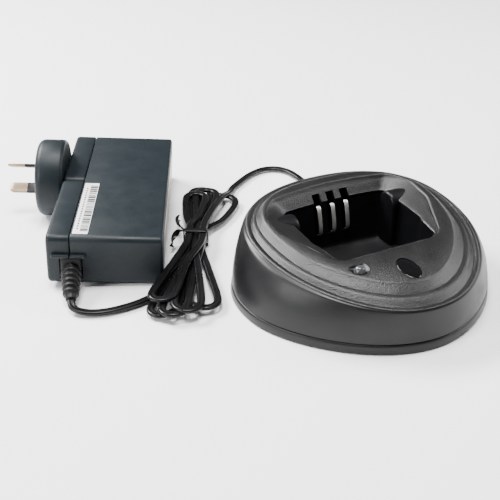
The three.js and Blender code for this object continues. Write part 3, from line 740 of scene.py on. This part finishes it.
def rounded_end(x, way, radius, steps=4):
    """The (x, inset) pairs of a rounded edge that ends at x, going outwards along way."""
    pairs = []
    for k in range(steps + 1):
        angle = math.radians(90 * k / steps)
        pairs.append((x - way * radius * (1 - math.sin(angle)), radius * (1 - math.cos(angle))))
    return pairs


def supply_piece(name, rings, material, nodes, body="root", sharp=40):
    """A piece lofted from rings in the power supply's own millimetres."""
    points, faces, _ = loft(turned(rings, SUPPLY))
    return make_piece(name, points, faces, [material], body, nodes, sharp)


def boot_hole():
    """A tool that opens both case halves for the shoulder of the strain relief."""
    rings = turned(box_rings(SUPPLY_SEAM - 5.4, -3, 3.4, SUPPLY_SEAM + 6, 5, 15.3, 2.5, 0.1), SUPPLY)
    return tool_piece("boot_hole", rings)


def make_supply_cases(kit):
    """Both case halves, with a groove at their seam and a hood over the strain relief."""
    rear = [(SUPPLY_SEAM + 0.15, 0.45), (SUPPLY_SEAM + 0.35, 0.15), (SUPPLY_SEAM + 0.8, 0.0),
            (-20, 0), *rounded_end(0, 1, 1.6)]
    case = supply_piece("supply_case_rear", case_rings(0, SUPPLY_LENGTH, rear), kit["supply"],
                        ["supply_rear_case"])
    cut(case, [boot_hole()])
    finish_mesh(case)
    front = rounded_end(SUPPLY_FRONT, -1, 1.8)[::-1]
    front += [(SUPPLY_SEAM - 0.8, 0), (SUPPLY_SEAM - 0.35, 0.15), (SUPPLY_SEAM - 0.15, 0.45)]
    case = supply_piece("supply_case_front", case_rings(0, HEAD_START - 0.3, front), kit["supply"],
                        ["supply_front_case"])
    cut(case, [boot_hole()])
    finish_mesh(case)
    for word, x0, x1 in (("rear", SUPPLY_SEAM + 0.15, SUPPLY_SEAM + 7.6),
                         ("front", SUPPLY_SEAM - 9, SUPPLY_SEAM - 0.15)):
        rings = box_rings(x0, -2.2, 15.6, x1, 1, 17.4, 0.6, 0.5)
        supply_piece(f"supply_hood_{word}", rings, kit["supply"], [])


def make_plug_head(kit):
    """The exchangeable head: its slab, the round base of the pins, and the neck between them."""
    ends = rounded_end(SUPPLY_FRONT, -1, 1.8)[::-1]
    ends += [(SUPPLY_SEAM - 1.2, 0), (SUPPLY_SEAM - 0.5, 0.15), (SUPPLY_SEAM - 0.3, 0.4)]
    supply_piece("plug_head_slab", case_rings(HEAD_START, SUPPLY_LENGTH, ends), kit["supply"],
                 ["plug_head"], "exchangeable_plug")
    y, z, radius = DISC
    onto_x = Matrix.Translation((0, y, z)) @ Matrix.Rotation(math.radians(-90), 4, "Y")
    profile = [(0.2, DISC_FACE), (4, DISC_FACE), (radius - 3.2, DISC_FACE), (radius - 2.2, 72.4),
               (radius - 1.0, 71.6), (radius - 0.3, 70.4), (radius, 69.1), (radius, 59.3),
               (radius - 0.2, 58.5), (radius - 1, 57.6), (radius - 2, 57.3), (4.0, 57.3)]
    rings = disc_rings(profile, 96)
    supply_piece("plug_disc", turned(rings, onto_x), kit["supply"], [],
                 "exchangeable_plug", 50)
    onto_neck = (Matrix.Translation((0, y, SUPPLY_HEIGHT / 2))
                 @ Matrix.Rotation(math.radians(-90), 4, "Y"))
    rings = disc_rings([(12.2, 56), (12.2, 58)], 64)
    supply_piece("plug_neck", turned(rings, onto_neck), kit["black_part"], [],
                 "exchangeable_plug", 50)


def flat_pin(side, stations, grow):
    """Rings of a flat pin across X, from (x, taper), turned about its own length."""
    y, z, _ = DISC
    turn = (Matrix.Translation((0, y, z + side * PIN_SPREAD))
            @ Matrix.Rotation(math.radians(-PIN_TILT * side), 4, "X"))
    rings = []
    for x, taper in stations:
        across = PIN_HALF_WIDTH + grow - taper
        thick = PIN_HALF_THICKNESS + grow - 0.35 * taper
        outline = rounded_rectangle(-across, -thick, across, thick, min(0.35, 0.8 * thick), 4)
        rings.append([(x, a, b) for a, b in outline])
    return turned(rings, turn)


def make_pins(kit):
    """Two flat pins, each with an insulating sleeve where it leaves the round base."""
    tip = -DISC_FACE - PIN_REACH
    for word, side in (("upper", 1), ("lower", -1)):
        stations = [(tip, 1.3), (tip + 0.3, 0.8), (tip + 1.0, 0.35), (tip + 2, 0.0), (-65, 0.0)]
        supply_piece(f"flat_pin_{word}", flat_pin(side, stations, -0.02), kit["pin"],
                     [f"pin_{word}"], "exchangeable_plug", 50)
        stations = [(-80.1, 0.06), (-79.8, 0.0), (-72.6, 0.0), (-72.3, -0.5), (-71.8, -0.5)]
        supply_piece(f"pin_collar_{word}", flat_pin(side, stations, 0.06), kit["sleeve"],
                     [f"pin_sleeve_{word}"], "exchangeable_plug", 50)


def make_labels(kit):
    """A bar-coded film beside the seam, and a pale strip on the narrow end. Neither has words."""
    x0, x1 = SUPPLY_SEAM + 1.1, SUPPLY_SEAM + 8.6
    top = SUPPLY_HEIGHT + 0.05
    supply_piece("barcode_film", box_rings(x0, 3.4, top, x1, 59.6, top + 0.2, 0.5, 0.05),
                 kit["barcode"], ["barcode_label"])
    chance = random.Random(7)
    y = 6.0
    bars = []
    while y < 56:
        width = chance.choice((0.5, 0.5, 0.9, 1.4))
        bars.append((x0 + 3.4, y, x1 - 0.3, y + width))
        y += width + chance.choice((0.45, 0.45, 0.9))
    bars += [(x0 + 1.5, 8 + 2.6 * k, x0 + 2.3, 9.4 + 2.6 * k) for k in range(18)]
    ink_blocks("barcode_bars", bars, lambda a, b: (a, b, top + 0.2), (0, 0, 0.03), kit)
    film = [[(x, y, z) for y, z in rounded_rectangle(14, 4, 112, 22.5, 1)]
            for x in (0.02, 0.22)]
    supply_piece("rating_film", film, kit["rating"], ["rating_label"])
    rows = [(20 + 9 * (k % 9), 6.8 + 3.4 * (k // 9), 26.5 + 9 * (k % 9), 7.7 + 3.4 * (k // 9))
            for k in range(36)]
    ink_blocks("rating_rows", rows, lambda a, b: (0.22, a, b), (0.03, 0, 0), kit)


def ink_blocks(name, rectangles, place, lift, kit):
    """Thin blocks of ink on a label: place sets a rectangle's corners, lift is the thickness."""
    points, faces = [], []
    for a0, b0, a1, b1 in rectangles:
        first = len(points)
        flat = [place(a0, b0), place(a1, b0), place(a1, b1), place(a0, b1)]
        raised = [tuple(c + d for c, d in zip(p, lift)) for p in flat]
        points += [tuple(SUPPLY @ Vector(p)) for p in flat + raised]
        faces += [tuple(first + i for i in quad) for quad in (
            (3, 2, 1, 0), (4, 5, 6, 7), (0, 1, 5, 4), (1, 2, 6, 5), (2, 3, 7, 6), (3, 0, 4, 7))]
    make_piece(name, points, faces, [kit["black_part"]], "root", [])


BOOT_START = Vector((SUPPLY_SEAM, 4, 9.8))
BOOT_END = Vector((SUPPLY_SEAM + 2.4, -19, 2.8))


def make_boot(kit):
    """The strain relief: a shoulder inside the case and a ribbed, tapering sleeve outside it."""
    way = BOOT_END - BOOT_START
    turn = Matrix.Translation(BOOT_START) @ way.to_track_quat("Z", "Y").to_matrix().to_4x4()
    profile = [(0.2, 0), (4.2, 0), (4.2, 5.4), (3.7, 5.9)]
    for k in range(5):
        at, radius = 6.3 + 3.1 * k, 5.1 - 0.28 * k
        profile += [(radius - 0.95, at), (radius - 0.75, at + 0.15), (radius - 0.15, at + 0.35),
                    (radius, at + 0.7), (radius, at + 1.6), (radius - 0.15, at + 1.95),
                    (radius - 0.75, at + 2.15), (radius - 0.95, at + 2.3)]
    profile += [(2.75, way.length - 1.5), (2.5, way.length - 0.3), (1.4, way.length)]
    rings = box_rings(SUPPLY_SEAM - 5.2, -0.9, 3.6, SUPPLY_SEAM + 5.8, 3.5, 15.1, 2.0, 0.7)
    supply_piece("relief_shoulder", rings, kit["boot"], [])
    return supply_piece("ribbed_strain_relief", turned(disc_rings(profile, 48), turn), kit["boot"],
                        ["cord_strain_relief"], "root", 50)


# ---------------------------------------------------------------- cord

# The cord's middle lines, from the DC plug to the hank and from the hank to the strain relief.
# LAID is how high the middle of the cord is kept over the table.
LAID = 2.1
CRADLE_END = [
    (30.0, 79.4, 12.0), (30.0, 82.0, 11.8), (30.0, 86.0, 11.3), (30.1, 93.0, 9.2), (30.3, 101.0, 6.0),
    (30.5, 109.0, 3.2), (30.6, 116.0, LAID), (30.4, 124.0, LAID), (29.0, 131.6, LAID),
    (25.0, 137.8, LAID), (18.4, 140.6, LAID), (10.2, 139.3, LAID), (1.1, 134.8, LAID),
    (-5.6, 130.2, LAID), (-11.2, 126.2, LAID)]
SUPPLY_END = [
    (-99.9, 35.9, LAID), (-103.7, 34.7, LAID), (-108.3, 33.8, LAID), (-113.1, 33.4, LAID),
    (-118.7, 33.4, LAID), (-124.5, 34.2, LAID), (-130.0, 36.2, LAID), (-134.6, 39.2, 2.5),
    (-136.9, 42.6, 3.4), (-136.4, 46.6, 4.8)]
# The hank's own frame: X across it, Y along it from the power supply's end, Z up.
HANK = Matrix.Translation((-90.5, 17.4, 0)) @ Matrix.Rotation(math.radians(-29.1), 4, "Z")
WAIST = 66.0


def hank_route():
    """Eleven runs of cord between folds that fan out at both ends, tied at the waist."""
    columns = (-3.6, 0.0, 3.6)
    slots = [(columns[0], 2.0), (columns[1], 2.0), (columns[2], 2.0), (columns[2], 4.1),
             (columns[0], 4.1), (columns[1], 4.1), (columns[2], 6.2), (columns[1], 6.2),
             (columns[0], 6.2), (columns[0], 8.1), (columns[2], 8.1)]
    # Each fold: across and along of its tip, and how far apart its two runs are there.
    top_folds = [(-3.5, 121, 11.5), (9.5, 121, 21.0), (-2.0, 126, 11.0), (1.5, 123, 12.0),
                 (-4.0, 116, 11.0)]
    low_folds = [(-11.0, -4.5, 12.0), (9.5, 1.0, 14.0), (-5.0, -7.0, 11.5), (2.0, -5.0, 12.5),
                 (-11.5, 2.0, 11.0)]
    route = [(-16.4, 13.0, 2.2), (-14.0, 18.0, 2.6), (-9.5, 34.0, 2.3), (-5.0, 52.0, 2.0)]
    last = len(slots) - 1
    for k, (across, z) in enumerate(slots):
        up = k % 2 == 0
        before, after = (WAIST - 9, WAIST + 9) if up else (WAIST + 9, WAIST - 9)
        route += [(across, before, z), (across, WAIST, z), (across, after, z)]
        if k == last:
            break
        tip_across, tip_along, apart = (top_folds if up else low_folds)[k // 2]
        lift = 2.0 + 0.55 * k
        following = slots[k + 1][0]
        way = 1 if following > across or (following == across and up) else -1
        out = 1 if up else -1
        radius = 0.5 * apart
        reach = abs(tip_along - WAIST)
        lean = (tip_across - 0.5 * (across + following)) / reach
        fold = [(math.sin(a), reach - radius * (1 - math.cos(a)))
                for a in (math.radians(d) for d in range(-90, 91, 30))]
        for turn, depth in ((-0.62, 0.45 * reach), *fold, (0.62, 0.45 * reach)):
            middle = 0.5 * (across + following) + lean * depth
            height = z + (lift - z) * min(1, 1.6 * depth / reach)
            route.append((middle + way * turn * radius, WAIST + out * depth, height))
    route += [(5.0, 86.0, 7.6), (8.5, 104.0, 6.4), (12.0, 118.0, 4.6), (14.6, 125.5, 2.9)]
    return [tuple(HANK @ Vector(p)) for p in route]


def smooth_line(points, step):
    """Evenly spaced points on the centripetal curve through the given ones."""
    points = [Vector(p) for p in points]
    full = [2 * points[0] - points[1], *points, 2 * points[-1] - points[-2]]
    fine = []
    for k in range(1, len(full) - 2):
        a, b, c, d = full[k - 1:k + 3]
        t0, t1 = 0.0, max((b - a).length, 0.1) ** 0.5
        t2 = t1 + max((c - b).length, 0.1) ** 0.5
        t3 = t2 + max((d - c).length, 0.1) ** 0.5
        for s in range(16):
            t = t1 + (t2 - t1) * s / 16
            ab = a * ((t1 - t) / (t1 - t0)) + b * ((t - t0) / (t1 - t0))
            bc = b * ((t2 - t) / (t2 - t1)) + c * ((t - t1) / (t2 - t1))
            cd = c * ((t3 - t) / (t3 - t2)) + d * ((t - t2) / (t3 - t2))
            abc = ab * ((t2 - t) / (t2 - t0)) + bc * ((t - t0) / (t2 - t0))
            bcd = bc * ((t3 - t) / (t3 - t1)) + cd * ((t - t1) / (t3 - t1))
            fine.append(abc * ((t2 - t) / (t2 - t1)) + bcd * ((t - t1) / (t2 - t1)))
    fine.append(points[-1])
    line = np.array([tuple(p) for p in fine])
    run = np.concatenate([[0], np.cumsum(np.linalg.norm(np.diff(line, axis=0), axis=1))])
    count = int(run[-1] / step) + 1
    at = np.linspace(0, run[-1], count)
    return np.stack([np.interp(at, run, line[:, i]) for i in range(3)], axis=1), run[-1]


def twin_section(steps=8):
    """The outline of two cores side by side: 4 mm wide and 2.1 mm thick, waisted."""
    outline = []
    for side in (1, -1):
        for k in range(steps + 1):
            angle = math.radians(-125 + 250 * k / steps)
            outline.append((side * (0.95 + 1.05 * math.cos(angle)), side * 1.05 * math.sin(angle)))
    return outline


def swept(line, section, tilt=None):
    """Rings of a flat section carried along a line, its width level."""
    rings = []
    for k, p in enumerate(line):
        way = Vector(line[min(k + 1, len(line) - 1)] - line[max(k - 1, 0)]).normalized()
        side = way.cross(Vector((0, 0, 1))).normalized()
        if tilt is not None:
            side = Matrix.Rotation(tilt(k / (len(line) - 1)), 3, way) @ side
        up = side.cross(way)
        rings.append([tuple(Vector(p) + side * a + up * b) for a, b in section])
    return rings


def make_cord(kit, with_pieces):
    """The whole cord as one piece, from the power supply through the hank to the cradle."""
    route = SUPPLY_END[::-1] + hank_route() + CRADLE_END[::-1]
    line, length = smooth_line(route, 1.3)
    points, faces, _ = loft(swept(line, twin_section()))
    cord = make_piece("twin_cord", points, faces, [kit["jacket"]], "root",
                      ["cord_to_cradle", "cord_hank", "cord_to_supply"], 70)


def make_twist_tie(kit):
    """A band round the waist of the hank, and its two twisted tails."""
    rings = []
    for shrink, v in ((0.25, -1.8), (0, -1.5), (0, 1.5), (0.25, 1.8)):
        outline = rounded_rectangle(-6.7 + shrink, 0.2 + shrink, 6.7 - shrink, 9.9 - shrink, 1.6)
        rings.append([(u, WAIST + v, z) for u, z in outline])
    for v in (1.8, -1.8):
        rings.append([(u, WAIST + v, z) for u, z in rounded_rectangle(-6.1, 0.6, 6.1, 9.4, 1.0)])
    points, faces, _ = loft(turned(rings, HANK), closed=True)
    band = make_piece("tie_band", points, faces, [kit["tie"]], "root",
                      ["twist_tie"], 50)
    tails = []
    for word, route in (
            ("left", [(-5.8, WAIST + 1, 8.8), (-8.5, WAIST + 4, 9.6), (-10.8, WAIST + 12, 8.8),
                      (-11.6, WAIST + 21, 6.4)]),
            ("right", [(-5.8, WAIST - 1, 9.4), (-9, WAIST - 1.5, 9.6), (-11.5, WAIST - 4, 7.0),
                       (-12.2, WAIST - 8, 3.6)])):
        line, _ = smooth_line([tuple(HANK @ Vector(p)) for p in route], 0.5)
        section = [(-1.5, 0.12), (-0.4, 0.18), (0, 0.4), (0.4, 0.18), (1.5, 0.12),
                   (1.5, -0.12), (0.4, -0.18), (0, -0.4), (-0.4, -0.18), (-1.5, -0.12)]
        points, faces, _ = loft(swept(line, section, lambda t: 5.5 * t))
        tails.append(make_piece(f"tie_tail_{word}", points, faces, [kit["tie"]], "root",
                                [], 50))
    return [band, *tails]


def make_dc_plug(kit):
    """The moulded plug in the cradle's jack, ribbed for grip, with a short strain relief."""
    x, y, z = JACK
    onto_y = Matrix.Translation((x, y - 3.4, z)) @ Matrix.Rotation(math.radians(-90), 4, "X")
    profile = [(0.2, 0), (2.3, 0), (2.5, 0.3), (2.5, 9), (4.6, 9.2), (5, 9.7)]
    for k in range(5):
        at = 11.5 + 2.1 * k
        profile += [(5, at), (4.6, at + 0.25), (4.6, at + 0.85), (5, at + 1.1)]
    profile += [(5, 22), (4.2, 24), (3.2, 28.5), (2.6, 33.2), (2.2, 33.8)]
    points, faces, _ = loft(turned(disc_rings(profile, 48), onto_y))
    return make_piece("barrel_plug", points, faces, [kit["boot"]], "root",
                      ["dc_plug"], 40)


# ---------------------------------------------------------------- pieces kept from the CAD

def keep_cad_pieces(kit):
    """Inner and underside pieces keep their CAD shape and take a detailed material."""
    looks = {
        "contact_carrier": "pocket", "circuit_board": "laminate", "supply_board": "laminate",
        "status_led": "lens", "inductor": "copper", "supply_transformer": "copper",
        "smoothing_capacitor": "cap_sleeve", "bulk_capacitor": "cap_sleeve",
        "output_capacitor": "cap_sleeve", "charge_transistor": "black_part", "dc_jack": "black_part",
        "heat_sink": "sheet"}
    for number in range(1, 5):
        looks[f"case_screw_{number}"] = "zinc"
        looks[f"rubber_foot_{number}"] = "foot"
    for node, look in looks.items():
        piece = bpy.data.objects[node]
        piece.data.materials.clear()
        piece.data.materials.append(kit[look])


# ---------------------------------------------------------------- the scene

make_camera()
kit = make_materials()
boot = make_boot(kit)
plug = make_dc_plug(kit)
make_cord(kit, [boot, plug, *make_twist_tie(kit)])
make_stage()
make_top_shell(kit)
make_pocket_collar(kit)
make_base_tray(kit)
make_pocket_cup(kit)
make_contacts(kit)
make_lens(kit)
make_badge(kit)
make_supply_cases(kit)
make_plug_head(kit)
make_pins(kit)
make_labels(kit)
keep_cad_pieces(kit)
